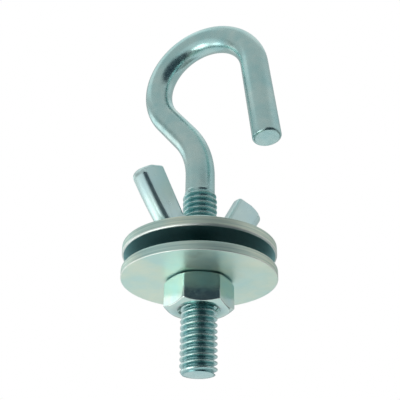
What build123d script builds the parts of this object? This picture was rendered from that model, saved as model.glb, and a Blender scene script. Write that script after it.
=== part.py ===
from build123d import *
import os
from math import cos, radians, sin, sqrt, tan

os.makedirs("parts", exist_ok=True)

# Hook bolt with a wing nut, two wide washers and a hex nut
#
# A round rod is threaded at its lower end and bent to an open hook at its
# upper end. A sheet is clamped between two wide washers: the hex nut carries
# the lower washer, and the wing nut presses the upper one down by hand.
#
# Millimetres. The bolt's axis is Z and the hook is up. The origin is on the
# axis, at the upper face of the lower washer, where the sheet lies. The hook
# is bent in the XZ plane and its tip is on the +X side.

# Rod and thread
rod_diameter = 5.15
thread_diameter = 5.9
thread_above_seat = 13.8
thread_below_seat = 16.7
thread_runout = 1.2
end_face_diameter = 5.2
end_chamfer_height = 0.5

# Hook, from the thread's end to the tip
bend_start = 18.2
swan_radius = 14.75
swan_turn = 37.6
back_length = 6.55
hook_radius = 10.1
hook_turn = 211.4
leg_length = 17.1
tip_rounding = 0.45

# Washers and the space between them for the sheet
washer_diameter = 25.6
washer_hole = 6.4
washer_thickness = 1.6
washer_edge = 0.2
sheet_space = 2.4

# Running clearance between the thread and both nuts, on the radius
thread_clearance = 0.05
nut_mouth_chamfer = 0.5

# Hex nut
hex_flats = 10.0
hex_height = 5.0
hex_face_diameter = 9.5
hex_chamfer_angle = 30.0
hex_azimuth = 31.0

# Wing nut
hub_height = 4.4
hub_base_diameter = 12.4
hub_top_diameter = 9.4
hub_land = 0.8
wing_span = 27.8
wing_height = 12.8
wing_rim_thickness = 3.4
wing_web_thickness = 2.0
wing_root_inner = 3.6
wing_top_inner = 8.7
wing_top_outer = 11.2
wing_top_outer_height = 11.9
wing_shoulder_height = 10.1
wing_foot_radius = 6.8
wing_foot_height = 0.4
wing_shoulder_rounding = 1.0
wing_top_rounding = 0.5
wing_rim_rounding = 1.2
wing_azimuth = 65.6

# Radii and levels that follow from the sizes above
rod_radius = rod_diameter / 2
thread_radius = thread_diameter / 2
nut_bore_radius = thread_radius + thread_clearance
lower_washer_base = -washer_thickness
upper_washer_base = sheet_space
wing_nut_base = upper_washer_base + washer_thickness
hex_nut_base = lower_washer_base - hex_height

# Hook bolt: the threaded end is turned, and the hook is the same rod bent
# over two formers, a wide one that carries it off the axis and a tight one
# that brings it back over the axis and down to the tip
with BuildPart() as hook_bolt:
    runout_top = thread_above_seat + thread_runout
    thread_end = -thread_below_seat
    end_face_radius = end_face_diameter / 2
    with BuildSketch(Plane.XZ) as threaded_end:
        with BuildLine():
            Polyline(
                (0, thread_end),
                (end_face_radius, thread_end),
                (thread_radius, thread_end + end_chamfer_height),
                (thread_radius, thread_above_seat),
                (rod_radius, runout_top),
                (0, runout_top),
                close=True,
            )
        make_face()
    revolve(axis=Axis.Z)

    with BuildLine(Plane.XZ) as hook_path:
        shank = Line((0, runout_top), (0, bend_start))
        swan_neck = JernArc(shank @ 1, shank % 1, swan_radius, swan_turn)
        back = PolarLine(swan_neck @ 1, back_length, direction=swan_neck % 1)
        bowl = JernArc(back @ 1, back % 1, hook_radius, -hook_turn)
        leg = PolarLine(bowl @ 1, leg_length, direction=bowl % 1)
    with BuildSketch(Plane.XY.offset(runout_top)):
        Circle(rod_radius)
    sweep(path=hook_path.line)
    tip = leg @ 1
    tip_rim = hook_bolt.edges().filter_by(GeomType.CIRCLE).sort_by_distance(tip)[0]
    fillet(tip_rim, tip_rounding)
hook_bolt.part.label = "hook_bolt"
export_step(hook_bolt.part, "parts/hook_bolt.step")


def washer_blank(base_level):
    """One punched washer whose lower face lies at the given level."""
    with BuildPart() as blank:
        with BuildSketch(Plane.XY.offset(base_level)):
            Circle(washer_diameter / 2)
            Circle(washer_hole / 2, mode=Mode.SUBTRACT)
        extrude(amount=washer_thickness)
        rims = blank.edges().filter_by(GeomType.CIRCLE).group_by(SortBy.RADIUS)[-1]
        chamfer(rims, washer_edge)
    return blank


# Lower washer: its upper face is the seat of the sheet
lower_washer = washer_blank(lower_washer_base)
lower_washer.part.label = "lower_washer"
export_step(lower_washer.part, "parts/lower_washer.step")

# Upper washer: the wing nut stands on it
upper_washer = washer_blank(upper_washer_base)
upper_washer.part.label = "upper_washer"
export_step(upper_washer.part, "parts/upper_washer.step")


def bore_section(base_level, height):
    """Half section of a nut's bore with a chamfered mouth at both ends."""
    mouth_radius = nut_bore_radius + nut_mouth_chamfer
    top_level = base_level + height
    with BuildSketch(Plane.XZ) as section:
        with BuildLine():
            Polyline(
                (0, base_level),
                (mouth_radius, base_level),
                (nut_bore_radius, base_level + nut_mouth_chamfer),
                (nut_bore_radius, top_level - nut_mouth_chamfer),
                (mouth_radius, top_level),
                (0, top_level),
                close=True,
            )
        make_face()
    return section.sketch


# Hex nut: a hexagonal prism trimmed by a turned blank, which leaves the
# curved chamfer lines on all six flats at both ends
hex_bore = bore_section(hex_nut_base, hex_height)
with BuildPart() as hex_nut:
    with BuildSketch(Plane.XY.offset(hex_nut_base)):
        RegularPolygon(hex_flats / 2, 6, major_radius=False, rotation=hex_azimuth)
    extrude(amount=hex_height)
    corner_radius = hex_flats / sqrt(3)
    face_radius = hex_face_diameter / 2
    chamfer_height = (corner_radius - face_radius) * tan(radians(hex_chamfer_angle))
    with BuildSketch(Plane.XZ):
        with BuildLine():
            Polyline(
                (0, hex_nut_base),
                (face_radius, hex_nut_base),
                (corner_radius, hex_nut_base + chamfer_height),
                (corner_radius, lower_washer_base - chamfer_height),
                (face_radius, lower_washer_base),
                (0, lower_washer_base),
                close=True,
            )
        make_face()
    revolve(axis=Axis.Z, mode=Mode.INTERSECT)
    revolve(hex_bore, axis=Axis.Z, mode=Mode.SUBTRACT)
hex_nut.part.label = "hex_nut"
export_step(hex_nut.part, "parts/hex_nut.step")

# Wing nut: a conical hub with two wings that flare outwards, forged in one
# piece. Each wing has a straight inner edge that starts beside the bore, a
# short top that falls outwards, a sloping shoulder and a straight outer rim
# that runs down to the hub. The rim is rounded and thick, and the wing thins
# evenly from it to its inner edge.
wing_bore = bore_section(wing_nut_base, hub_height)
wing_along = Vector(cos(radians(wing_azimuth)), sin(radians(wing_azimuth)), 0)
wing_across = Vector(sin(radians(wing_azimuth)), -cos(radians(wing_azimuth)), 0)
wing_plane = Plane(origin=(0, 0, wing_nut_base), x_dir=wing_along, z_dir=wing_across)
foot = wing_plane.from_local_coords(Vector(wing_foot_radius, wing_foot_height, 0))
shoulder = wing_plane.from_local_coords(Vector(wing_span / 2, wing_shoulder_height, 0))
inner_corner = wing_plane.from_local_coords(Vector(wing_top_inner, wing_height, 0))
rim_direction = (shoulder - foot).normalized()
inwards = wing_across.cross(rim_direction)
taper_plane = Plane(origin=foot, x_dir=inwards, z_dir=rim_direction)
with BuildPart() as wing_nut:
    inside_hub = hub_top_diameter / 4
    with BuildSketch(wing_plane):
        with BuildLine():
            Polyline(
                (inside_hub, wing_foot_height),
                (wing_foot_radius, wing_foot_height),
                (wing_span / 2, wing_shoulder_height),
                (wing_top_outer, wing_top_outer_height),
                (wing_top_inner, wing_height),
                (wing_root_inner, hub_height),
                (inside_hub, hub_height),
                close=True,
            )
        make_face()
    extrude(amount=wing_rim_thickness, both=True)
    # The free corners of the wing are its three highest edges
    across_edges = wing_nut.edges().filter_by(Axis((0, 0, 0), wing_across))
    shoulder_corner, *top_corners = across_edges.sort_by(Axis.Z)[-3:]
    fillet(shoulder_corner, wing_shoulder_rounding)
    fillet(top_corners, wing_top_rounding)
    # The wedge that tapers the wing runs on past its inner edge at the same
    # slope, so that it covers the wing's root inside the hub too
    rim_half = wing_rim_thickness / 2
    web_half = wing_web_thickness / 2
    wing_width = (inner_corner - foot).dot(inwards)
    past_root = hub_top_diameter / 2
    end_half = web_half - (rim_half - web_half) * past_root / wing_width
    with BuildSketch(taper_plane):
        with BuildLine():
            Polyline(
                (0, -rim_half),
                (wing_width + past_root, -end_half),
                (wing_width + past_root, end_half),
                (0, rim_half),
                close=True,
            )
        wedge = make_face()
        fillet(wedge.vertices().sort_by_distance((0, 0, 0))[:2], wing_rim_rounding)
    extrude(amount=wing_span, both=True, mode=Mode.INTERSECT)
    mirror(about=Plane(origin=(0, 0, 0), z_dir=wing_along))
    with BuildSketch(Plane.XZ):
        with BuildLine():
            Polyline(
                (0, wing_nut_base),
                (hub_base_diameter / 2, wing_nut_base),
                (hub_base_diameter / 2, wing_nut_base + hub_land),
                (hub_top_diameter / 2, wing_nut_base + hub_height),
                (0, wing_nut_base + hub_height),
                close=True,
            )
        make_face()
    revolve(axis=Axis.Z)
    revolve(wing_bore, axis=Axis.Z, mode=Mode.SUBTRACT)
wing_nut.part.label = "wing_nut"
export_step(wing_nut.part, "parts/wing_nut.step")
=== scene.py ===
# %% [markdown]
# # A zinc plated hook bolt with its wing nut, washers and hex nut
#
# The real thing is five pieces of cold-formed steel: a rod that is threaded at one end
# and bent to a hook at the other, a forged wing nut, two punched washers and a hex nut.
# All of it carries the same bright zinc. This lesson loads the solid model as a fixed
# frame, puts a finer surface over each piece, and finishes every surface in zinc.

# %% Load the fixed frame
import math

import bpy
import numpy as np
from mathutils import Matrix, Vector


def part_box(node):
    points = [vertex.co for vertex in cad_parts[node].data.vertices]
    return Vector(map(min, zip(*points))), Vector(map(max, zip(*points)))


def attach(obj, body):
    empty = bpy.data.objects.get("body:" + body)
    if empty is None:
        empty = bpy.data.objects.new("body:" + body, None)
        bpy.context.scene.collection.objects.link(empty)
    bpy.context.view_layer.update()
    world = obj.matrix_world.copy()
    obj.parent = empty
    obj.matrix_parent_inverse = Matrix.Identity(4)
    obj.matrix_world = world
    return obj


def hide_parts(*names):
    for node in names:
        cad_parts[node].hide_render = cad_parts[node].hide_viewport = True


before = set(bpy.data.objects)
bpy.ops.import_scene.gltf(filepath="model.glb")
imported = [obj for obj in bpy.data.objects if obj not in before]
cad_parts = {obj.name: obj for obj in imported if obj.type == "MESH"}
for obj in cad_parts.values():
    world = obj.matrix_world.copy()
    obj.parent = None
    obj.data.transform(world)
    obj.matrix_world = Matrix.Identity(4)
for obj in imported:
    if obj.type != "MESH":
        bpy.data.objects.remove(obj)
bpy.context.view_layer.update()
scene = bpy.context.scene
MM = 0.001

# %% [markdown]
# ## The camera
#
# The picture was taken from below, with the camera looking up at the washers. A camera
# could be pointed at a target, but the true view has a small roll, so its three turns are
# written out: swing about the upright axis, pitch up from the level, and roll.

# %% Camera
CAMERA_DISTANCE = 103.78
CAMERA_HEIGHT = -42.72
CAMERA_SWING = 26.6
CAMERA_PITCH = 28.46
CAMERA_ROLL = 0.53
FOCAL_IN_FRAME_WIDTHS = 681.9 / 400
SENSOR_WIDTH = 36.0

swing = math.radians(CAMERA_SWING)
view_forward = np.array([-math.sin(swing), math.cos(swing), 0.0])
view_right = np.array([math.cos(swing), math.sin(swing), 0.0])
camera_data = bpy.data.cameras.new("camera")
camera_data.sensor_width = SENSOR_WIDTH
camera_data.lens = SENSOR_WIDTH * FOCAL_IN_FRAME_WIDTHS
camera_data.clip_start = 0.005
camera = bpy.data.objects.new("camera", camera_data)
scene.collection.objects.link(camera)
camera_spot = -CAMERA_DISTANCE * MM * view_forward
turn = Matrix.Rotation(swing, 4, "Z") @ Matrix.Rotation(math.radians(90 + CAMERA_PITCH), 4, "X")
turn = turn @ Matrix.Rotation(math.radians(CAMERA_ROLL), 4, "Z")
camera.matrix_world = Matrix.Translation((camera_spot[0], camera_spot[1], CAMERA_HEIGHT * MM)) @ turn
scene.camera = camera
scene.view_settings.view_transform = "Standard"
print("lens", round(camera_data.lens, 1), "mm")

# %% [markdown]
# ## The studio
#
# Polished metal shows its surroundings more than its own colour, so the studio is part of
# the finish. The background is white to the camera and in reflections, and the floor is
# pale. Strong lamps could light the metal, but each would be one hard white patch in it.
# So the lamps are large and weak, and the shapes of light and dark come from a grey tent,
# four boards and four sheets over the floor, which only reflections see. A photographer
# does the same with cloth and with black and white board.


# %% Helpers: an empty material and a flat sheet
def make_material(name):
    """A new material with an empty node tree; returns the material, its nodes and links."""
    material = bpy.data.materials.new(name)
    material.use_nodes = True
    material.node_tree.nodes.clear()
    return material, material.node_tree.nodes, material.node_tree.links


def plain_plane(name, corners):
    """One four-cornered sheet through the given corners, in metres."""
    mesh = bpy.data.meshes.new(name)
    mesh.from_pydata([tuple(corner) for corner in corners], [], [(0, 1, 2, 3)])
    obj = bpy.data.objects.new(name, mesh)
    scene.collection.objects.link(obj)
    return obj


# %% Background and floor
FLOOR_LEVEL = -62.0
FLOOR_SIZE = 2.4

# Camera, mirrored and transmitted rays meet white, and all others a dimmer bluish fill
world = bpy.data.worlds.new("studio")
scene.world = world
world.use_nodes = True
nodes, links = world.node_tree.nodes, world.node_tree.links
nodes.clear()
path = nodes.new("ShaderNodeLightPath")
seen = nodes.new("ShaderNodeMath")
seen.operation = "MAXIMUM"
links.new(path.outputs["Is Camera Ray"], seen.inputs[0])
links.new(path.outputs["Is Glossy Ray"], seen.inputs[1])
seen_or_through = nodes.new("ShaderNodeMath")
seen_or_through.operation = "MAXIMUM"
links.new(seen.outputs[0], seen_or_through.inputs[0])
links.new(path.outputs["Is Transmission Ray"], seen_or_through.inputs[1])
fill = nodes.new("ShaderNodeBackground")
fill.inputs["Color"].default_value = (0.92, 0.96, 1.0, 1.0)
fill.inputs["Strength"].default_value = 0.75
backdrop = nodes.new("ShaderNodeBackground")
backdrop.inputs["Color"].default_value = (1.0, 1.0, 1.0, 1.0)
backdrop.inputs["Strength"].default_value = 1.0
blend = nodes.new("ShaderNodeMixShader")
links.new(seen_or_through.outputs[0], blend.inputs[0])
links.new(fill.outputs[0], blend.inputs[1])
links.new(backdrop.outputs[0], blend.inputs[2])
world_out = nodes.new("ShaderNodeOutputWorld")
links.new(blend.outputs[0], world_out.inputs["Surface"])

floor_half = FLOOR_SIZE / 2
floor_z = FLOOR_LEVEL * MM
floor = plain_plane("floor", [(-floor_half, -floor_half, floor_z), (floor_half, -floor_half, floor_z),
                              (floor_half, floor_half, floor_z), (-floor_half, floor_half, floor_z)])
floor_paint, nodes, links = make_material("floor_paint")
floor_shader = nodes.new("ShaderNodeBsdfPrincipled")
floor_shader.inputs["Base Color"].default_value = (0.90, 0.90, 0.88, 1.0)
floor_shader.inputs["Roughness"].default_value = 0.8
floor_out = nodes.new("ShaderNodeOutputMaterial")
links.new(floor_shader.outputs[0], floor_out.inputs["Surface"])
floor.data.materials.append(floor_paint)
print("floor at", FLOOR_LEVEL, "mm")

# %% Helpers: boards and sheets that only reflections see
CARD_DISTANCE = 0.32
TENT_TOP = 89.0
TENT_ROWS, TENT_COLUMNS = 15, 48


def bearing(azimuth, elevation):
    """Two directions from the bolt, level and raised, at an azimuth right of the camera's side."""
    turn_right, rise = math.radians(azimuth), math.radians(elevation)
    level = -view_forward * math.cos(turn_right) + view_right * math.sin(turn_right)
    return level, level * math.cos(rise) + np.array([0, 0, math.sin(rise)])


def card(name, azimuth, elevation, width, height, shade):
    """A board that only reflections see, at an azimuth to the right of the camera's side.

    The board stands at CARD_DISTANCE from the bolt and faces it; width and height are in
    metres and shade is how bright it looks in the metal, where white is 1.
    """
    level, out = bearing(azimuth, elevation)
    across = np.cross(np.array([0, 0, 1.0]), level)
    up = np.cross(out, across)
    centre = out * CARD_DISTANCE
    half_w, half_h = across * width / 2, up * height / 2
    board = plain_plane(name, [centre - half_w - half_h, centre + half_w - half_h,
                               centre + half_w + half_h, centre - half_w + half_h])
    only_reflected(board, shade)


def only_reflected(obj, shade):
    """Gives a studio board an even glow that nothing but reflections can see."""
    paint, nodes, links = make_material(obj.name + "_paint")
    glow = nodes.new("ShaderNodeEmission")
    glow.inputs["Color"].default_value = shade + (1.0,)
    out_node = nodes.new("ShaderNodeOutputMaterial")
    links.new(glow.outputs[0], out_node.inputs["Surface"])
    obj.data.materials.append(paint)
    obj.visible_camera = False
    obj.visible_diffuse = False
    obj.visible_shadow = False
    obj.visible_transmission = False


def tent(radius, lowest, shade):
    """A dome of grey cloth: radius * (cos e cos a, cos e sin a, sin e), from a low rim up."""
    rise = np.radians(np.linspace(lowest, TENT_TOP, TENT_ROWS + 1))[:, None]
    about = np.linspace(0, 2 * math.pi, TENT_COLUMNS + 1)[None, :]
    level = np.cos(rise)
    points = np.broadcast_arrays(level * np.cos(about), level * np.sin(about), np.sin(rise))
    points = np.stack(points, -1) * radius
    row, column = np.meshgrid(np.arange(TENT_ROWS), np.arange(TENT_COLUMNS), indexing="ij")
    corner = (row * (TENT_COLUMNS + 1) + column).ravel()
    above = corner + TENT_COLUMNS + 1
    faces = np.stack([corner, above, above + 1, corner + 1], -1)
    mesh = bpy.data.meshes.new("tent")
    mesh.from_pydata(points.reshape(-1, 3).tolist(), [], faces.tolist())
    obj = bpy.data.objects.new("tent", mesh)
    scene.collection.objects.link(obj)
    only_reflected(obj, shade)


def floor_card(name, toward_camera, to_right, length, width, height, shade):
    """A sheet that lies over the floor, placed from the bolt in metres; only reflections see it."""
    centre = -view_forward * toward_camera + view_right * to_right + np.array([0, 0, height])
    half_l, half_w = view_forward * length / 2, view_right * width / 2
    board = plain_plane(name, [centre - half_l - half_w, centre - half_l + half_w,
                               centre + half_l + half_w, centre + half_l - half_w])
    only_reflected(board, shade)


print("boards stand", CARD_DISTANCE, "m from the bolt")

# %% The tent, the boards and the sheets
SHEET_HEIGHT, DARK_SHEET_HEIGHT = -0.0590, -0.0600

tent(radius=0.50, lowest=-7.5, shade=(0.50, 0.50, 0.50))
card("dark_board", azimuth=24, elevation=8, width=0.40, height=0.22, shade=(0.035, 0.050, 0.065))
card("white_board", azimuth=-122, elevation=16, width=0.17, height=0.11, shade=(1.25, 1.25, 1.25))
card("right_board", azimuth=82, elevation=36, width=0.32, height=0.15, shade=(0.62, 0.62, 0.63))
card("left_board", azimuth=-90, elevation=13, width=0.13, height=0.09, shade=(0.28, 0.31, 0.31))
floor_card("dark_sheet", toward_camera=0.34, to_right=0.150, length=0.67, width=0.36,
           height=DARK_SHEET_HEIGHT, shade=(0.035, 0.050, 0.060))
floor_card("bright_sheet", toward_camera=0.036, to_right=-0.056, length=0.064, width=0.066,
           height=SHEET_HEIGHT, shade=(2.6, 2.6, 2.5))
floor_card("white_sheet", toward_camera=-0.05, to_right=-0.170, length=0.10, width=0.13,
           height=SHEET_HEIGHT, shade=(1.90, 1.90, 1.90))
floor_card("grey_sheet", toward_camera=-0.09, to_right=0.146, length=0.15, width=0.17,
           height=SHEET_HEIGHT, shade=(0.20, 0.22, 0.21))

# %% Two weak lamps
LAMP_DISTANCE = 0.45


def soft_lamp(name, azimuth, elevation, size, watts):
    """A square soft lamp that faces the washers from the given side."""
    spot = Vector(bearing(azimuth, elevation)[1]) * LAMP_DISTANCE
    data = bpy.data.lights.new(name, "AREA")
    data.size = size
    data.energy = watts
    lamp = bpy.data.objects.new(name, data)
    scene.collection.objects.link(lamp)
    lamp.location = spot
    lamp.rotation_euler = (-spot).to_track_quat("-Z", "Y").to_euler()


soft_lamp("key_lamp", azimuth=-100, elevation=56, size=0.30, watts=0.10)
soft_lamp("top_lamp", azimuth=160, elevation=74, size=0.40, watts=0.14)
print("two lamps at", LAMP_DISTANCE, "m")

# %% [markdown]
# ## From arrays to meshes
#
# Every piece below is a surface worked out with numpy as a grid of points: rows run along
# the piece and columns run round it. This helper turns such a grid into a mesh. Columns
# always join up. Rows join up too when the section is a ring, as on a washer, and otherwise
# the two ends are closed by a fan of triangles to one point.


# %% Helper: a grid of points becomes a piece
def grid_piece(name, points, ring=False, first_pole=None, last_pole=None, layers=None, uv=None):
    """Makes a closed mesh from points[row, column, xyz] in millimetres.

    Corner (r, c) has index r * columns + c, and each quad is (r, c), (r, c+1), (r+1, c+1),
    (r+1, c), so it faces outwards when columns run counter-clockwise seen against the rows.
    layers holds one number per grid point under a name, and uv gives each point a place on
    the unrolled surface in millimetres.
    """
    rows, columns = points.shape[:2]
    row = np.arange(rows if ring else rows - 1)[:, None]
    column = np.arange(columns)[None, :]
    next_row, next_column = (row + 1) % rows, (column + 1) % columns
    quads = np.stack([row * columns + column, row * columns + next_column,
                      next_row * columns + next_column, next_row * columns + column], -1).reshape(-1, 4)
    vertices = points.reshape(-1, 3)
    fans = []
    around = np.arange(columns)
    after = (around + 1) % columns
    if first_pole is not None:
        fans.append(np.stack([after, around, np.full(columns, len(vertices))], -1))
        vertices = np.vstack([vertices, first_pole])
    if last_pole is not None:
        base = (rows - 1) * columns
        fans.append(np.stack([base + around, base + after, np.full(columns, len(vertices))], -1))
        vertices = np.vstack([vertices, last_pole])
    corners = np.concatenate([quads.ravel()] + [fan.ravel() for fan in fans]).astype(np.int32)
    sizes = np.concatenate([np.full(len(quads), 4)] + [np.full(columns, 3) for _ in fans]).astype(np.int32)
    mesh = bpy.data.meshes.new(name)
    mesh.vertices.add(len(vertices))
    mesh.vertices.foreach_set("co", (vertices * MM).astype(np.float32).ravel())
    mesh.loops.add(len(corners))
    mesh.loops.foreach_set("vertex_index", corners)
    mesh.polygons.add(len(sizes))
    starts = np.concatenate([[0], np.cumsum(sizes)[:-1]]).astype(np.int32)
    mesh.polygons.foreach_set("loop_start", starts)
    mesh.polygons.foreach_set("use_smooth", np.ones(len(sizes), bool))
    mesh.update(calc_edges=True)
    mesh.validate()
    poles = len(vertices) - rows * columns
    for layer, values in (layers or {}).items():
        attribute = mesh.attributes.new(layer, "FLOAT", "POINT")
        padded = np.concatenate([values.ravel(), np.zeros(poles)])
        attribute.data.foreach_set("value", padded.astype(np.float32))
    if uv is not None:
        flat = np.vstack([uv.reshape(-1, 2), np.zeros((poles, 2))])
        mesh.uv_layers.new(name="unrolled").data.foreach_set("uv", flat[corners].astype(np.float32).ravel())
    obj = bpy.data.objects.new(name, mesh)
    scene.collection.objects.link(obj)
    print(name, "has", len(sizes), "faces")
    return obj


# %% [markdown]
# ## The zinc
#
# Bright zinc is a thin bluish-white plating. It is mirror-like but never clean: the tint
# drifts between blue-green and a faint straw colour, the sheen is blotchy, and the steel
# under it keeps the lines of how it was made. Two node groups hold what all the pieces
# share, one for the cloudy tint and one for fine marks, and each material gives them its
# own numbers.

# %% Node group: cloudy zinc
cloud = bpy.data.node_groups.new("zinc_cloud", "ShaderNodeTree")
for socket, kind, start in (("Vector", "NodeSocketVector", None), ("Size", "NodeSocketFloat", 220.0),
                            ("Cool", "NodeSocketColor", (0.52, 0.79, 0.74, 1)),
                            ("Warm", "NodeSocketColor", (0.66, 0.80, 0.68, 1)),
                            ("Smooth", "NodeSocketFloat", 0.22), ("Dull", "NodeSocketFloat", 0.40)):
    made = cloud.interface.new_socket(name=socket, in_out="INPUT", socket_type=kind)
    if start is not None:
        made.default_value = start
cloud.interface.new_socket(name="Color", in_out="OUTPUT", socket_type="NodeSocketColor")
cloud.interface.new_socket(name="Roughness", in_out="OUTPUT", socket_type="NodeSocketFloat")
nodes, links = cloud.nodes, cloud.links
given = nodes.new("NodeGroupInput")
wide = nodes.new("ShaderNodeTexNoise")
wide.inputs["Detail"].default_value = 4.0
wide.inputs["Roughness"].default_value = 0.55
links.new(given.outputs["Vector"], wide.inputs["Vector"])
links.new(given.outputs["Size"], wide.inputs["Scale"])
spread = nodes.new("ShaderNodeMapRange")
spread.inputs["From Min"].default_value = 0.36
spread.inputs["From Max"].default_value = 0.66
links.new(wide.outputs["Fac"], spread.inputs["Value"])
tint = nodes.new("ShaderNodeMix")
tint.data_type = "RGBA"
links.new(spread.outputs[0], tint.inputs["Factor"])
links.new(given.outputs["Cool"], tint.inputs[6])
links.new(given.outputs["Warm"], tint.inputs[7])
finer = nodes.new("ShaderNodeMath")
finer.operation = "MULTIPLY"
finer.inputs[1].default_value = 4.3
links.new(given.outputs["Size"], finer.inputs[0])
speckle = nodes.new("ShaderNodeTexNoise")
speckle.inputs["Detail"].default_value = 6.0
speckle.inputs["Roughness"].default_value = 0.65
links.new(given.outputs["Vector"], speckle.inputs["Vector"])
links.new(finer.outputs[0], speckle.inputs["Scale"])
sheen = nodes.new("ShaderNodeMapRange")
sheen.inputs["From Min"].default_value = 0.30
sheen.inputs["From Max"].default_value = 0.72
links.new(speckle.outputs["Fac"], sheen.inputs["Value"])
links.new(given.outputs["Smooth"], sheen.inputs["To Min"])
links.new(given.outputs["Dull"], sheen.inputs["To Max"])
passed = nodes.new("NodeGroupOutput")
links.new(tint.outputs[2], passed.inputs["Color"])
links.new(sheen.outputs[0], passed.inputs["Roughness"])
print("group", cloud.name, "ready")

# %% Node group: fine marks in the steel under the zinc
marks = bpy.data.node_groups.new("steel_marks", "ShaderNodeTree")
for socket, kind, start in (("Vector", "NodeSocketVector", None), ("Grain", "NodeSocketFloat", 1.0),
                            ("Pits", "NodeSocketFloat", 0.4)):
    made = marks.interface.new_socket(name=socket, in_out="INPUT", socket_type=kind)
    if start is not None:
        made.default_value = start
marks.interface.new_socket(name="Height", in_out="OUTPUT", socket_type="NodeSocketFloat")
nodes, links = marks.nodes, marks.links
given = nodes.new("NodeGroupInput")
grain = nodes.new("ShaderNodeTexNoise")
grain.inputs["Scale"].default_value = 1.0
grain.inputs["Detail"].default_value = 5.0
grain.inputs["Roughness"].default_value = 0.6
links.new(given.outputs["Vector"], grain.inputs["Vector"])
grain_part = nodes.new("ShaderNodeMath")
grain_part.operation = "MULTIPLY"
links.new(grain.outputs["Fac"], grain_part.inputs[0])
links.new(given.outputs["Grain"], grain_part.inputs[1])
spots = nodes.new("ShaderNodeTexCoord")
pits = nodes.new("ShaderNodeTexNoise")
pits.inputs["Scale"].default_value = 2600.0
pits.inputs["Detail"].default_value = 3.0
links.new(spots.outputs["Object"], pits.inputs["Vector"])
pit_part = nodes.new("ShaderNodeMath")
pit_part.operation = "MULTIPLY_ADD"
links.new(pits.outputs["Fac"], pit_part.inputs[0])
links.new(given.outputs["Pits"], pit_part.inputs[1])
links.new(grain_part.outputs[0], pit_part.inputs[2])
passed = nodes.new("NodeGroupOutput")
links.new(pit_part.outputs[0], passed.inputs["Height"])
print("group", marks.name, "ready")


# %% Zinc materials
def zinc(name, stretch, size, smooth, dull, pits, cool, warm, grain=1.0, depth=0.000004, from_uv=False):
    """A zinc plated finish: cloudy tint, uneven sheen, and fine marks stretched one way.

    stretch is how many marks there are in a metre (or in a millimetre of the unrolled
    surface) along each axis, so a small number gives a long mark. One point layer darkens
    the colour: it holds painted shade in grooves, bores and the gap between the washers,
    painted shadow where a nut bears, and faint streaks on a washer's wall. The other point
    layer lightens it, a painted highlight on crests and edges.
    """
    material, nodes, links = make_material(name)
    places = nodes.new("ShaderNodeTexCoord")
    clouds = nodes.new("ShaderNodeGroup")
    clouds.node_tree = cloud
    clouds.inputs["Size"].default_value = size
    clouds.inputs["Cool"].default_value = cool + (1,)
    clouds.inputs["Warm"].default_value = warm + (1,)
    clouds.inputs["Smooth"].default_value = smooth
    clouds.inputs["Dull"].default_value = dull
    links.new(places.outputs["Object"], clouds.inputs["Vector"])
    stretched = nodes.new("ShaderNodeMapping")
    stretched.inputs["Scale"].default_value = stretch
    links.new(places.outputs["UV" if from_uv else "Object"], stretched.inputs["Vector"])
    lines = nodes.new("ShaderNodeGroup")
    lines.node_tree = marks
    lines.inputs["Grain"].default_value = grain
    lines.inputs["Pits"].default_value = pits
    links.new(stretched.outputs[0], lines.inputs["Vector"])
    bump = nodes.new("ShaderNodeBump")
    bump.inputs["Strength"].default_value = 1.0
    bump.inputs["Distance"].default_value = depth
    links.new(lines.outputs["Height"], bump.inputs["Height"])
    # The first layer mixes in a dark blue-green: painted shade and painted shadow, with a washer wall's
    # streaks
    groove = nodes.new("ShaderNodeAttribute")
    groove.attribute_name = "streaks_and_painted_shade"
    shaded = nodes.new("ShaderNodeMix")
    shaded.data_type = "RGBA"
    shaded.inputs[7].default_value = (0.14, 0.36, 0.38, 1)
    links.new(groove.outputs["Fac"], shaded.inputs["Factor"])
    links.new(clouds.outputs["Color"], shaded.inputs[6])
    # The second layer mixes in near white: a painted highlight
    edge = nodes.new("ShaderNodeAttribute")
    edge.attribute_name = "painted_highlight"
    highlight_mix = nodes.new("ShaderNodeMix")
    highlight_mix.data_type = "RGBA"
    highlight_mix.inputs[7].default_value = (0.92, 0.96, 0.92, 1)
    links.new(edge.outputs["Fac"], highlight_mix.inputs["Factor"])
    links.new(shaded.outputs[2], highlight_mix.inputs[6])
    shader = nodes.new("ShaderNodeBsdfPrincipled")
    shader.inputs["Metallic"].default_value = 1.0
    links.new(highlight_mix.outputs[2], shader.inputs["Base Color"])
    links.new(clouds.outputs["Roughness"], shader.inputs["Roughness"])
    links.new(bump.outputs[0], shader.inputs["Normal"])
    out = nodes.new("ShaderNodeOutputMaterial")
    links.new(shader.outputs[0], out.inputs["Surface"])
    return material


rod_zinc = zinc("rod_zinc", (2.2, 0.09, 1.0), from_uv=True, size=230.0, smooth=0.20, dull=0.36, grain=0.7,
                pits=0.08, depth=0.000003, cool=(0.43, 0.71, 0.71), warm=(0.60, 0.80, 0.77))
washer_zinc = zinc("washer_zinc", (200.0, 1800.0, 600.0), size=110.0, smooth=0.40, dull=0.54, pits=0.10,
                   depth=0.000003, cool=(0.64, 0.88, 0.82), warm=(0.84, 0.93, 0.78))
hex_nut_zinc = zinc("hex_nut_zinc", (700.0, 700.0, 1800.0), size=240.0, smooth=0.12, dull=0.24, pits=0.12,
                    cool=(0.58, 0.85, 0.84), warm=(0.72, 0.88, 0.78))
wing_nut_zinc = zinc("wing_nut_zinc", (500.0, 500.0, 500.0), size=170.0, smooth=0.26, dull=0.38, grain=0.6,
                     pits=0.05, cool=(0.62, 0.85, 0.86), warm=(0.68, 0.87, 0.82))
print("four zinc finishes")

# %% [markdown]
# ## The threaded rod and its hook
#
# A rolled thread is pressed out of the rod, so its crests stand out past the plain rod and
# its roots lie below it. The thread could be a screw modifier on a small profile, but then
# the run-out and the chamfered end would need cutting. Here the whole rod is one grid: each
# row is a ring round the path, and on the threaded length the ring's radius follows the
# height and the angle together, which draws the helix. The same grid goes on round the
# bends to the tip.

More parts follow.
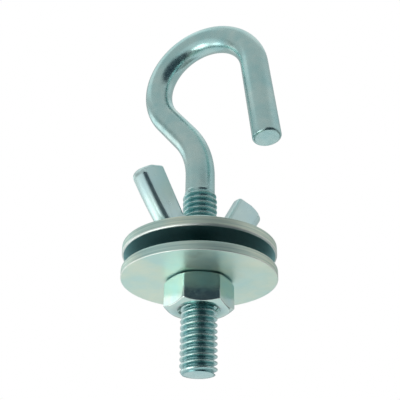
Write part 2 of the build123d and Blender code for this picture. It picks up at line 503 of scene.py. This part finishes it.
# %% Rod sizes, read from the solid where it gives them
PITCH = 1.0
ROD_RADIUS = 5.15 / 2
ROOT_RADIUS = 2.36
THREAD_TOP = 13.8
RUNOUT = 1.2
END_FACE_RADIUS = 2.6
END_CHAMFER = 0.5
BEND_START = 18.2
SWAN_RADIUS, SWAN_TURN = 14.75, math.radians(37.6)
BACK_LENGTH = 6.55
HOOK_RADIUS, HOOK_TURN = 10.1, math.radians(211.4)
LEG_LENGTH = 17.1
TIP_ROUNDING = 0.45

low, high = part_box("hook_bolt")
thread_end = low.z / MM
crest_radius = high.y / MM
print("thread from", round(thread_end, 2), "mm, crest radius", round(crest_radius, 3), "mm")

# %% The bolt's thread as a function of height and angle
CREST_SHARE, ROOT_SHARE = 0.125, 0.25
FLANK_EASE = 0.09


def thread_form(height, angle):
    """How deep the groove is at a point, 0 on the crest and 1 at the root.

    The thread's phase is height / pitch minus angle / one turn, which is a right-hand
    helix. Across one pitch the form is a crest an eighth wide, two flanks, and a root a
    quarter wide. A flank's depth f is eased to f - 0.09 sin(2 pi f), so that it runs
    more softly into the crest and the root.
    """
    phase = (height / PITCH - angle / (2 * math.pi)) % 1.0
    from_root = np.abs(phase - 0.5) * 2
    flank = np.clip((1 - from_root - CREST_SHARE) / (1 - CREST_SHARE - ROOT_SHARE), 0, 1)
    return flank - FLANK_EASE * np.sin(2 * math.pi * flank)


print("groove depth on a crest and at a root:", thread_form(0.0, 0.0), thread_form(PITCH / 2, 0.0))

# %% The hook's centre line
HOOK_STEP = 0.35
HOOK_RUNS = ((SWAN_RADIUS, SWAN_TURN), (None, BACK_LENGTH), (-HOOK_RADIUS, HOOK_TURN), (None, LEG_LENGTH))


def bent_path(step):
    """Points, headings and lengths along the hook, from the bend's start to the tip.

    A straight run adds step * (cos h, sin h) in the XZ plane at heading h. An arc of
    radius R turns the heading at the rate 1 / R, so its points are the centre plus
    R * (sin h, -cos h) for a left turn, and minus that for a right turn.
    """
    place, heading, length = np.array([0.0, BEND_START]), math.pi / 2, 0.0
    places, headings, lengths = [], [], []
    for radius, run in HOOK_RUNS:
        distance = run if radius is None else abs(radius) * run
        along = np.linspace(0, distance, max(2, int(distance / step)) + 1)[:-1]
        if radius is None:
            turned = np.full(len(along), heading)
            here = place + along[:, None] * [math.cos(heading), math.sin(heading)]
            end = place + distance * np.array([math.cos(heading), math.sin(heading)])
            last = heading
        else:
            centre = place + radius * np.array([-math.sin(heading), math.cos(heading)])
            turned = heading + along / radius
            here = centre + radius * np.stack([np.sin(turned), -np.cos(turned)], -1)
            last = heading + distance / radius
            end = centre + radius * np.array([math.sin(last), -math.cos(last)])
        places.append(here)
        headings.append(turned)
        lengths.append(length + along)
        place, heading, length = end, last, length + distance
    return np.vstack(places), np.concatenate(headings), np.concatenate(lengths), place, heading, length


hook_places, hook_headings, hook_lengths, tip, tip_heading, hook_length = bent_path(HOOK_STEP)
print("from the bend to the tip:", round(hook_length, 1), "mm")


# %% Helper: rings round the path
def ring(place, heading, radius, angle):
    """A ring of points round each place: place + radius * (cos a * side + sin a * Y)."""
    side = np.stack([np.sin(heading), np.zeros_like(heading), -np.cos(heading)], -1)
    centre = np.stack([place[:, 0], np.zeros(len(place)), place[:, 1]], -1)
    cosine, sine = np.cos(angle)[None, :, None], np.sin(angle)[None, :, None]
    out = cosine * side[:, None, :] + sine * np.array([0, 1.0, 0])
    return centre[:, None, :] + np.broadcast_to(radius, (len(place), len(angle)))[:, :, None] * out


# %% The threaded rows
AROUND = 96
ROWS_PER_PITCH = 15
SHOULDER_RATE, ROOT_RATE = 1.5, 1.3

angle = np.linspace(0, 2 * math.pi, AROUND, endpoint=False)
threaded = np.arange(thread_end, THREAD_TOP + RUNOUT, PITCH / ROWS_PER_PITCH)
depth = thread_form(threaded[:, None], angle[None, :])
# On the run-out the crest falls to the plain rod by the smooth step s^2 (3 - 2 s), and the
# root rises to it by a square
fade = np.clip((THREAD_TOP + RUNOUT - threaded) / (RUNOUT + PITCH), 0, 1)[:, None]
shoulder = np.minimum(1, fade * SHOULDER_RATE)
outer = ROD_RADIUS + (crest_radius - ROD_RADIUS) * shoulder ** 2 * (3 - 2 * shoulder)
inner = ROD_RADIUS - (ROD_RADIUS - ROOT_RADIUS) * np.minimum(1, fade * ROOT_RATE) ** 2
chamfer = END_FACE_RADIUS + (threaded - thread_end)[:, None] * (crest_radius - END_FACE_RADIUS) / END_CHAMFER
thread_radius = np.minimum(outer + (inner - outer) * depth, np.minimum(chamfer, crest_radius))
straight = np.stack([np.zeros(len(threaded)), threaded], -1)
upright = np.full(len(threaded), math.pi / 2)
thread_rows = ring(straight, upright, thread_radius, angle)
print("the thread has", len(threaded), "rows")

# %% The plain rows, the hook and both ends
PLAIN_STEP = 0.4
TIP_ROWS = 7
START_RINGS = np.array([[0.6], [1.4], [2.1]])
END_RINGS = np.array([[1.9], [1.2], [0.5]])

plain = np.arange(THREAD_TOP + RUNOUT, BEND_START, PLAIN_STEP)
plain_places = np.stack([np.zeros(len(plain)), plain], -1)
plain_rows = ring(plain_places, np.full(len(plain), math.pi / 2), ROD_RADIUS, angle)
before_tip = hook_lengths < hook_length - TIP_ROUNDING
hook_rows = ring(hook_places[before_tip], hook_headings[before_tip], ROD_RADIUS, angle)
# The tip's edge is a quarter circle: back by r (1 - sin t), and in by r (1 - cos t)
curl = np.linspace(0, math.pi / 2, TIP_ROWS)
tip_back = TIP_ROUNDING * (1 - np.sin(curl))
tip_direction = np.array([math.cos(tip_heading), math.sin(tip_heading)])
tip_places = tip - tip_back[:, None] * tip_direction
tip_radius = (ROD_RADIUS - TIP_ROUNDING + TIP_ROUNDING * np.cos(curl))[:, None]
tip_rows = ring(tip_places, np.full(len(curl), tip_heading), tip_radius, angle)
end_rows = ring(np.repeat(tip[None, :], len(END_RINGS), 0), np.full(len(END_RINGS), tip_heading),
                END_RINGS, angle)
start_rows = ring(np.repeat([[0.0, thread_end]], len(START_RINGS), 0),
                  np.full(len(START_RINGS), math.pi / 2), START_RINGS, angle)
rod_points = np.concatenate([start_rows, thread_rows, plain_rows, hook_rows, tip_rows, end_rows])
print("the rod has", len(rod_points), "rows in all")

# %% The rod in one piece
UPPER_DARKENING, UPPER_ROOT_SHADE, LOWER_ROOT_SHADE = 0.20, 0.75, 0.7
UPPER_CREST_HIGHLIGHT, LOWER_CREST_HIGHLIGHT = 0.2, 0.35

# The thread above the washers is darker overall than the end below the nut; on both, the roots get painted
# shade and the crests a painted highlight
above = (threaded > 0)[:, None]
thread_part = slice(len(START_RINGS), len(START_RINGS) + len(threaded))
groove_shade = np.where(above, UPPER_DARKENING + UPPER_ROOT_SHADE * depth ** 2, LOWER_ROOT_SHADE * depth ** 2)
groove = np.zeros(rod_points.shape[:2])
groove[thread_part] = groove_shade * fade
crest = np.zeros(rod_points.shape[:2])
crest[thread_part] = (1 - depth) ** 4 * np.where(above, UPPER_CREST_HIGHLIGHT, LOWER_CREST_HIGHLIGHT) * fade
rod_steps = np.linalg.norm(np.diff(rod_points.mean(1), axis=0), axis=-1)
rod_along = np.concatenate([[0], np.cumsum(rod_steps)])
rod_uv = np.stack(np.broadcast_arrays(angle[None, :] * ROD_RADIUS, rod_along[:, None]), -1)
bolt = grid_piece("threaded_hook", rod_points, first_pole=[[0, 0, thread_end]],
                  last_pole=[[tip[0], 0, tip[1]]], layers={"streaks_and_painted_shade": groove, "painted_highlight": crest}, uv=rod_uv)
bolt.data.materials.append(rod_zinc)
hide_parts("hook_bolt")
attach(bolt, "bolt")

# %% [markdown]
# ## The washers
#
# A washer is punched from sheet. The punch rolls one edge over into a soft curve and leaves
# the other crisp, and the cut wall between them keeps long faint streaks. A plain disc with
# a hole would miss that, so the section is drawn edge by edge and carried round the axis.

# %% The washers' section
HOLE_RADIUS = 3.2
SOFT_EDGE, CRISP_EDGE = 0.34, 0.12
EDGE_ROWS, WALL_ROWS, FACE_ROWS = 7, 10, 48
FACE_MARGIN = 1.0


def quarter_circle(centre_r, centre_z, size, start):
    """A corner of the section: centre + size * (cos t, sin t), over a quarter turn."""
    turned = np.linspace(0, math.pi / 2, EDGE_ROWS) + start
    return np.stack([centre_r + size * np.cos(turned), centre_z + size * np.sin(turned)], -1)


def washer_section(outer, bottom, top, at_top, at_bottom):
    """Radius and height round a section whose outer corners have the radii at_top and at_bottom.

    The line goes up the outer wall, in over the top, down the hole and out along the
    bottom. The corners at the hole have the two radii the other way round.
    """
    hole = HOLE_RADIUS
    face = np.linspace(outer - FACE_MARGIN, hole + FACE_MARGIN, FACE_ROWS)
    wall = np.linspace(bottom + at_bottom, top - at_top, WALL_ROWS + 2)[1:-1]
    return np.vstack([
        quarter_circle(outer - at_bottom, bottom + at_bottom, at_bottom, -math.pi / 2),
        np.stack([np.full(WALL_ROWS, outer), wall], -1),
        quarter_circle(outer - at_top, top - at_top, at_top, 0.0),
        np.stack([face, np.full(FACE_ROWS, top)], -1),
        quarter_circle(hole + at_bottom, top - at_bottom, at_bottom, math.pi / 2),
        quarter_circle(hole + at_top, bottom + at_top, at_top, math.pi),
        np.stack([face[::-1], np.full(FACE_ROWS, bottom)], -1),
    ])


print("a washer's outer edges are rounded by", SOFT_EDGE, "and", CRISP_EDGE, "mm")

# %% The washers
WASHER_COLUMNS = 256
NUT_SHADOW_RADIUS, NUT_SHADOW_WIDTH, NUT_SHADOW_SHADE = 5.05, 0.30, 0.75
INNER_FACE_SHADE, INNER_FACE_DEPTH = 0.90, 0.25
LOWER_EDGE_ROWS, LOWER_EDGE_SHINE = slice(1, 6), 0.8


def washer(name, node, soft_side_up):
    """A washer whose section is carried round Z, with its streaks, painted shade and painted highlight.

    The face that meets the other washer gets painted shade, the face under a nut has a
    ring of painted shadow where the nut bears, exp(-((r - m) / w)^2), and the wall has long
    faint streaks, which are sines of height and angle together. The lower outer edge has a
    painted highlight.
    """
    low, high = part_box(node)
    outer, bottom, top = high.x / MM, low.z / MM, high.z / MM
    at_top, at_bottom = (SOFT_EDGE, CRISP_EDGE) if soft_side_up else (CRISP_EDGE, SOFT_EDGE)
    section = washer_section(outer, bottom, top, at_top, at_bottom)
    radius, height = section[:, :1], section[:, 1:]
    angle = np.linspace(0, 2 * math.pi, WASHER_COLUMNS, endpoint=False)
    level_height = np.broadcast_to(height, (len(section), WASHER_COLUMNS))
    points = np.stack([radius * np.cos(angle), radius * np.sin(angle), level_height], -1)
    from_inner_face = np.abs(height - (top if soft_side_up else bottom))
    # Painted shade on the face in the gap between the washers
    painted_gap_shade = np.clip(1 - from_inner_face / INNER_FACE_DEPTH, 0, 1) * INNER_FACE_SHADE
    # A ring of painted shadow where the hex nut bears on the washer
    painted_nut_shadow = np.exp(-((radius - NUT_SHADOW_RADIUS) / NUT_SHADOW_WIDTH) ** 2) * NUT_SHADOW_SHADE
    painted_nut_shadow = painted_nut_shadow * (from_inner_face > 0.5)
    streaks = 0.20 + 0.11 * np.sin(9 * height + 3 * angle) + 0.09 * np.sin(17 * height - 5 * angle + 1.7)
    on_wall = (radius > outer - 0.02) * (height > bottom + at_bottom)
    streaks_and_painted_shade = np.clip(np.maximum(painted_gap_shade, painted_nut_shadow) + on_wall * streaks, 0, 1) + np.zeros(points.shape[:2])
    # A painted highlight along the lower outer edge
    painted_edge_highlight = np.zeros(points.shape[:2])
    painted_edge_highlight[LOWER_EDGE_ROWS] = LOWER_EDGE_SHINE
    piece = grid_piece(name, points, ring=True, layers={"streaks_and_painted_shade": streaks_and_painted_shade, "painted_highlight": painted_edge_highlight})
    piece.data.materials.append(washer_zinc)
    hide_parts(node)
    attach(piece, node)


washer("lower_disc", "lower_washer", soft_side_up=True)
washer("upper_disc", "upper_washer", soft_side_up=False)

# %% [markdown]
# ## The hex nut
#
# A hex nut is a hexagon trimmed by a cone at both ends, which leaves a curved line on each
# flat. In this grid the radius at each angle is the smaller of the hexagon's and the
# cone's. A soft minimum in place of a hard one rounds every edge a little, as forging and
# plating do. The bore has the same helix as the bolt, seen from inside.

# %% The bore of both nuts
BORE_CREST = 3.0
BORE_LEAST = 2.55
THREAD_PLAY = 0.06
MOUTH_CHAMFER = 0.5
# Painted shade inside a nut's threaded bore
BORE_SHADE = 0.5


def nut_bore(bottom, top, angle):
    """Heights and radii of a threaded bore, from the top down, with chamfered mouths.

    The radius is the bolt's thread radius plus THREAD_PLAY, but at least BORE_LEAST, and
    at a mouth it is at least BORE_CREST plus the height left of the chamfer.
    """
    height = np.linspace(top, bottom, int((top - bottom) * ROWS_PER_PITCH) + 1)[:, None]
    bolt = crest_radius + (ROOT_RADIUS - crest_radius) * thread_form(height, angle[None, :])
    mouth = MOUTH_CHAMFER - np.minimum(height - bottom, top - height)
    return height, np.maximum(np.maximum(bolt + THREAD_PLAY, BORE_LEAST), BORE_CREST + mouth)


print("the bores' mouths are chamfered by", MOUTH_CHAMFER, "mm")

# %% The hex nut's outside
HEX_FLATS = 10.0
HEX_AZIMUTH = math.radians(31.0)
HEX_FACE_RADIUS = 4.75
HEX_CHAMFER_SLOPE = math.tan(math.radians(30.0))
HEX_CORNER_SOFTNESS, HEX_CHAMFER_SOFTNESS = 0.16, 0.10
HEX_COLUMNS = 480


def soft_least(a, b, softness):
    """A smooth minimum: (a + b - sqrt((a - b)^2 + softness^2)) / 2."""
    return (a + b - np.sqrt((a - b) ** 2 + softness ** 2)) / 2


low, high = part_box("hex_nut")
nut_bottom, nut_top = low.z / MM, high.z / MM
angle = np.linspace(0, 2 * math.pi, HEX_COLUMNS, endpoint=False)
to_flat = (angle - HEX_AZIMUTH) % (math.pi / 3) - math.pi / 6
this_flat = HEX_FLATS / 2 / np.cos(to_flat)
next_flat = HEX_FLATS / 2 / np.cos(np.abs(to_flat) - math.pi / 3)
hexagon = soft_least(this_flat, next_flat, HEX_CORNER_SOFTNESS)[None, :]
# The rows are dense near both ends, where the cone cuts the flats
side = np.concatenate([np.linspace(nut_bottom, nut_bottom + 1.1, 26),
                       np.linspace(nut_bottom + 1.3, nut_top - 1.3, 10),
                       np.linspace(nut_top - 1.1, nut_top, 26)])[:, None]
cone = HEX_FACE_RADIUS + np.minimum(side - nut_bottom, nut_top - side) / HEX_CHAMFER_SLOPE
side_radius = soft_least(hexagon, cone, HEX_CHAMFER_SOFTNESS)
print("hex nut across corners:", round(2 * side_radius.max(), 2), "mm")

# %% The hex nut in one piece
BEARING_WIDTH, BEARING_SHADE = 0.45, 0.85
CHAMFER_WIDTH, CHAMFER_SHINE = 0.12, 0.6

bore, bore_radius = nut_bore(nut_bottom, nut_top, angle)
radius = np.concatenate([side_radius, bore_radius])
height = np.broadcast_to(np.concatenate([side, bore]), radius.shape)
points = np.stack([radius * np.cos(angle), radius * np.sin(angle), height], -1)
# A painted shadow darkens the edge that bears on the washer, painted shade darkens the bore, and a painted
# highlight brightens the line where cone and flat meet
painted_bearing_shadow = np.clip(1 - (nut_top - side) / BEARING_WIDTH, 0, 1) * BEARING_SHADE
painted_bearing_shadow = painted_bearing_shadow + np.zeros(side_radius.shape)
groove = np.concatenate([painted_bearing_shadow, np.full(bore_radius.shape, BORE_SHADE)])
painted_chamfer_highlight = np.exp(-((hexagon - cone) / CHAMFER_WIDTH) ** 2) * CHAMFER_SHINE
painted_chamfer_highlight = np.concatenate([painted_chamfer_highlight, np.zeros(bore_radius.shape)])
nut = grid_piece("hex_nut_body", points, ring=True, layers={"streaks_and_painted_shade": groove, "painted_highlight": painted_chamfer_highlight})
nut.data.materials.append(hex_nut_zinc)
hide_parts("hex_nut")
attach(nut, "hex_nut")

# %% [markdown]
# ## The wing nut
#
# The wing nut is cold forged: a conical hub and two flat wings in one piece, with every
# edge rounded and a fillet where a wing leaves the hub. A bevel modifier would give one
# radius everywhere, but the forging has a soft thick rim and crisper edges on its other
# sides. So a wing is drawn as an outline, and each row of its grid is that outline moved
# inwards and across by the rounding that its own part of the edge has.

# %% Wing sizes, in the plane of the wing: out from the axis, and up from the washer
WING_AZIMUTH = math.radians(65.6)
WING_CORNERS = np.array([[4.0, 0.5], [6.8, 0.4], [13.9, 10.1], [11.2, 11.9], [8.7, 12.8], [3.72, 4.3]])
WING_CORNER_RADII = (0.55, 1.2, 1.2, 0.6, 0.55, 0.55)
RIM_CORNERS = (1, 2)
RIM_HALF, WEB_HALF = 1.7, 1.0
RIM_ROUNDING, EDGE_ROUNDING = 0.85, 0.40
RIM_CROWN, EDGE_CROWN = 0.30, 0.08
RIM_BULGE = 0.22
ROOT_FILLET = 0.9
HUB_BASE_RADIUS, HUB_TOP_RADIUS = 6.2, 4.7
HUB_LAND, HUB_HEIGHT = 0.8, 4.4
low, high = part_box("wing_nut")
hub_bottom = low.z / MM
print("wing nut stands at", round(hub_bottom, 2), "mm")

# %% An outline with rounded corners
OUTLINE_SPACING = 0.16


def rounded_outline(corners, radii, spacing):
    """Points, inward normals and a rim mask round a convex outline.

    A corner of radius r is an arc about centre = corner + r / sin(half) along the corner's
    bisector, where half is half of the angle between its sides, and the arc starts
    r / tan(half) before the corner. Straight stretches are filled in between the arcs.
    """
    count = len(corners)
    path, rim = [], []
    for index in range(count):
        here, radius = corners[index], radii[index]
        back = corners[index - 1] - here
        ahead = corners[(index + 1) % count] - here
        back, ahead = back / np.linalg.norm(back), ahead / np.linalg.norm(ahead)
        half = math.acos(np.clip(back @ ahead, -1, 1)) / 2
        bisector = (back + ahead) / np.linalg.norm(back + ahead)
        centre = here + bisector * radius / math.sin(half)
        start = here + back * radius / math.tan(half) - centre
        turn = math.pi - 2 * half
        swept = np.linspace(0, turn, max(4, int(turn * radius / spacing * 3)))
        arc = centre + np.stack([start[0] * np.cos(swept) - start[1] * np.sin(swept),
                                 start[0] * np.sin(swept) + start[1] * np.cos(swept)], -1)
        path.append(arc)
        rim.append(np.full(len(arc), float(index in RIM_CORNERS)))
        following = corners[(index + 1) % count]
        beyond = corners[(index + 2) % count] - following
        beyond = beyond / np.linalg.norm(beyond)
        half_next = math.acos(np.clip(-ahead @ beyond, -1, 1)) / 2
        stop = following - ahead * radii[(index + 1) % count] / math.tan(half_next)
        length = np.linalg.norm(stop - arc[-1])
        steps = np.linspace(0, 1, max(3, int(length / spacing)))[1:-1, None]
        path.append(arc[-1] + steps * (stop - arc[-1]))
        rim.append(np.full(len(steps), float(index == RIM_CORNERS[0])))
    path, rim = np.vstack(path), np.concatenate(rim)
    along = np.roll(path, -1, 0) - np.roll(path, 1, 0)
    along = along / np.linalg.norm(along, axis=1)[:, None]
    return path, np.stack([-along[:, 1], along[:, 0]], -1), rim


def spread_mask(mask, rounds):
    """Softens the ends of a mask that runs round a closed line, by repeated averaging."""
    for _ in range(rounds):
        mask = (np.roll(mask, 1) + mask * 2 + np.roll(mask, -1)) / 4
    return mask


outline = rounded_outline(WING_CORNERS, WING_CORNER_RADII, OUTLINE_SPACING)
print("the wing's outline has", len(outline[0]), "points")

# %% One wing as a grid
RIM_MASK_ROUNDS = 20
FLAT_ROWS, ROUND_ROWS, WING_FACE_ROWS = 6, 9, 34
FACE_END = 0.97
FACE_RISE = 4


def wing_grid(out, across):
    """A closed wing in the plane of out and Z; returns points, their normals and both poles.

    Rows run from the far face over the edge to the near face. On the rim's flat the
    distance across is n = (H - e) * s, on the rounding it is n = H - e + e * sin t with
    the outline moved in by e * (1 - cos t), and on the face it is H, which falls evenly
    from RIM_HALF at the rim to WEB_HALF at the inner edge. A crown c moves the edge in by
    a further c * (n / H)^2, and the rim bulges out, most at half of its height.
    """
    path, inward, rim = outline
    rim = spread_mask(rim, RIM_MASK_ROUNDS)
    rim_line = WING_CORNERS[2] - WING_CORNERS[1]
    rim_line = rim_line / np.linalg.norm(rim_line)
    to_inner = np.array([-rim_line[1], rim_line[0]])
    width = (WING_CORNERS[4] - WING_CORNERS[1]) @ to_inner
    climb = np.clip((path[:, 1] - WING_CORNERS[1, 1]) / (WING_CORNERS[2, 1] - WING_CORNERS[1, 1]), 0, 1)
    path = path - inward * (RIM_BULGE * rim * np.sin(math.pi * climb))[:, None]
    rounding = EDGE_ROUNDING + (RIM_ROUNDING - EDGE_ROUNDING) * rim
    crown = EDGE_CROWN + (RIM_CROWN - EDGE_CROWN) * rim
    middle = WING_CORNERS[[1, 2, 4, 5]].mean(0)

    def half_thickness(flat):
        """H at points of the wing's plane, by distance from the rim."""
        share = np.clip((flat - WING_CORNERS[1]) @ to_inner / width, 0, 1.1)
        return RIM_HALF + (WEB_HALF - RIM_HALF) * share

    rows_flat, rows_across, leans = [], [], []
    thick = half_thickness(path)
    for share in np.linspace(0, 1, FLAT_ROWS):
        reach = (thick - rounding) * share
        rows_flat.append(path + inward * (crown * (reach / thick) ** 2)[:, None])
        rows_across.append(reach)
        leans.append(0.0)
    for curl in np.linspace(0, math.pi / 2, ROUND_ROWS)[1:]:
        reach = thick - rounding + rounding * math.sin(curl)
        move = rounding * (1 - math.cos(curl)) + crown * (reach / thick) ** 2
        rows_flat.append(path + inward * move[:, None])
        rows_across.append(reach)
        leans.append(curl)
    edge, edge_reach = rows_flat[-1], rows_across[-1]
    for share in np.linspace(0, FACE_END, WING_FACE_ROWS)[1:]:
        flat = edge + (middle - edge) * share
        rows_flat.append(flat)
        rows_across.append(np.minimum(half_thickness(flat), edge_reach + share * FACE_RISE))
        leans.append(math.pi / 2)
    flat = np.concatenate([np.array(rows_flat[::-1]), np.array(rows_flat[1:])])
    reach = np.concatenate([-np.array(rows_across[::-1]), np.array(rows_across[1:])])
    lean = np.concatenate([-np.array(leans[::-1]), np.array(leans[1:])])[:, None, None]
    points = flat[..., :1] * out + flat[..., 1:] * np.array([0, 0, 1.0]) + reach[..., None] * across
    outward = -(inward[:, :1] * out + inward[:, 1:] * np.array([0, 0, 1.0]))
    normals = np.cos(lean) * outward + np.sin(lean) * across
    pole = middle[0] * out + middle[1] * np.array([0, 0, 1.0])
    thick_middle = half_thickness(middle)
    return points, normals, pole - thick_middle * across, pole + thick_middle * across


# %% The fillet between a wing and the hub
SWELL_LIMIT = 0.6
FOOT_GAP = 0.2


def hub_distance(points):
    """How far points are outside the hub: from its cone below its top, else from its top rim."""
    radius, height = np.hypot(points[..., 0], points[..., 1]), points[..., 2]
    slope = (HUB_BASE_RADIUS - HUB_TOP_RADIUS) / (HUB_HEIGHT - HUB_LAND)
    cone = HUB_BASE_RADIUS - slope * np.clip(height - HUB_LAND, 0, HUB_HEIGHT - HUB_LAND)
    beside = (radius - cone) / math.hypot(1, slope)
    above = np.maximum(height - HUB_HEIGHT, 0)
    return np.where(above > 0, np.hypot(np.maximum(radius - HUB_TOP_RADIUS, 0), above), beside)


def with_root_fillet(points, normals):
    """Swells a wing where it nears the hub, along its own normals.

    At a distance d from the hub the surface moves out by r - sqrt(r^2 - (r - d)^2), which
    is a quarter circle of radius r between the wing and the hub, up to SWELL_LIMIT. No
    point goes lower than FOOT_GAP above the washer.
    """
    short = np.clip(ROOT_FILLET - np.maximum(hub_distance(points), 0), 0, ROOT_FILLET)
    swell = ROOT_FILLET - np.sqrt(ROOT_FILLET ** 2 - short ** 2)
    swollen = points + normals * np.minimum(swell, SWELL_LIMIT)[..., None]
    swollen[..., 2] = np.maximum(swollen[..., 2], FOOT_GAP)
    return swollen


# %% The hub
HUB_COLUMNS = 240
HUB_MOUTH_RADIUS = 3.56
HUB_ROUNDINGS = (0.2, 0.6, 0.45)
HUB_BEND_ROWS = 7

angle = np.linspace(0, 2 * math.pi, HUB_COLUMNS, endpoint=False)
hub_section = np.array([[3.9, 0.0], [HUB_BASE_RADIUS, 0.0], [HUB_BASE_RADIUS, HUB_LAND],
                        [HUB_TOP_RADIUS, HUB_HEIGHT], [3.9, HUB_HEIGHT]])
# Each bend from a to b round the corner k is (1 - s)^2 a + 2 s (1 - s) k + s^2 b
soft = np.linspace(0, 1, HUB_BEND_ROWS)
hub_outer = [np.array([[HUB_MOUTH_RADIUS, 0.0], [3.8, 0.0], [5.7, 0.0], [6.0, 0.0]])]
for index, radius in enumerate(HUB_ROUNDINGS, start=1):
    here = hub_section[index]
    before = hub_section[index - 1] - here
    after = hub_section[index + 1] - here
    first = here + before / np.linalg.norm(before) * radius
    last = here + after / np.linalg.norm(after) * radius
    bend = (1 - soft)[:, None] ** 2 * first + 2 * (soft * (1 - soft))[:, None] * here
    hub_outer.append(bend + soft[:, None] ** 2 * last)
hub_outer.append(np.array([[4.0, HUB_HEIGHT], [HUB_MOUTH_RADIUS, HUB_HEIGHT]]))
hub_outer = np.vstack(hub_outer)
bore, bore_radius = nut_bore(hub_bottom, hub_bottom + HUB_HEIGHT, angle)
outer_radius = np.broadcast_to(hub_outer[:, :1], (len(hub_outer), len(angle)))
radius = np.concatenate([outer_radius, bore_radius])
height = np.broadcast_to(np.concatenate([hub_outer[:, 1:] + hub_bottom, bore]), radius.shape)
hub_points = np.stack([radius * np.cos(angle), radius * np.sin(angle), height], -1)
# Painted shade inside the bore, none on the hub's outside
groove = np.concatenate([np.zeros(outer_radius.shape), np.full(bore_radius.shape, BORE_SHADE)])
forged = [grid_piece("forged_wing_nut", hub_points, ring=True, layers={"streaks_and_painted_shade": groove})]

# %% The wings, and the whole wing nut
up_to_base = np.array([0, 0, hub_bottom])
for side, half_turn in (("left", math.pi), ("right", 0.0)):
    facing = WING_AZIMUTH + half_turn
    out = np.array([math.cos(facing), math.sin(facing), 0.0])
    across = np.array([math.sin(facing), -math.cos(facing), 0.0])
    points, normals, far_pole, near_pole = wing_grid(out, across)
    wing = grid_piece(side + "_wing", with_root_fillet(points, normals) + up_to_base,
                      first_pole=[far_pole + up_to_base], last_pole=[near_pole + up_to_base],
                      layers={"streaks_and_painted_shade": np.zeros(points.shape[:2])})
    forged.append(wing)
with bpy.context.temp_override(active_object=forged[0], selected_editable_objects=forged):
    bpy.ops.object.join()
wing_nut = forged[0]
wing_nut.data.materials.clear()
wing_nut.data.materials.append(wing_nut_zinc)
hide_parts("wing_nut")
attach(wing_nut, "wing_nut")
print("wing nut has", len(wing_nut.data.polygons), "faces")
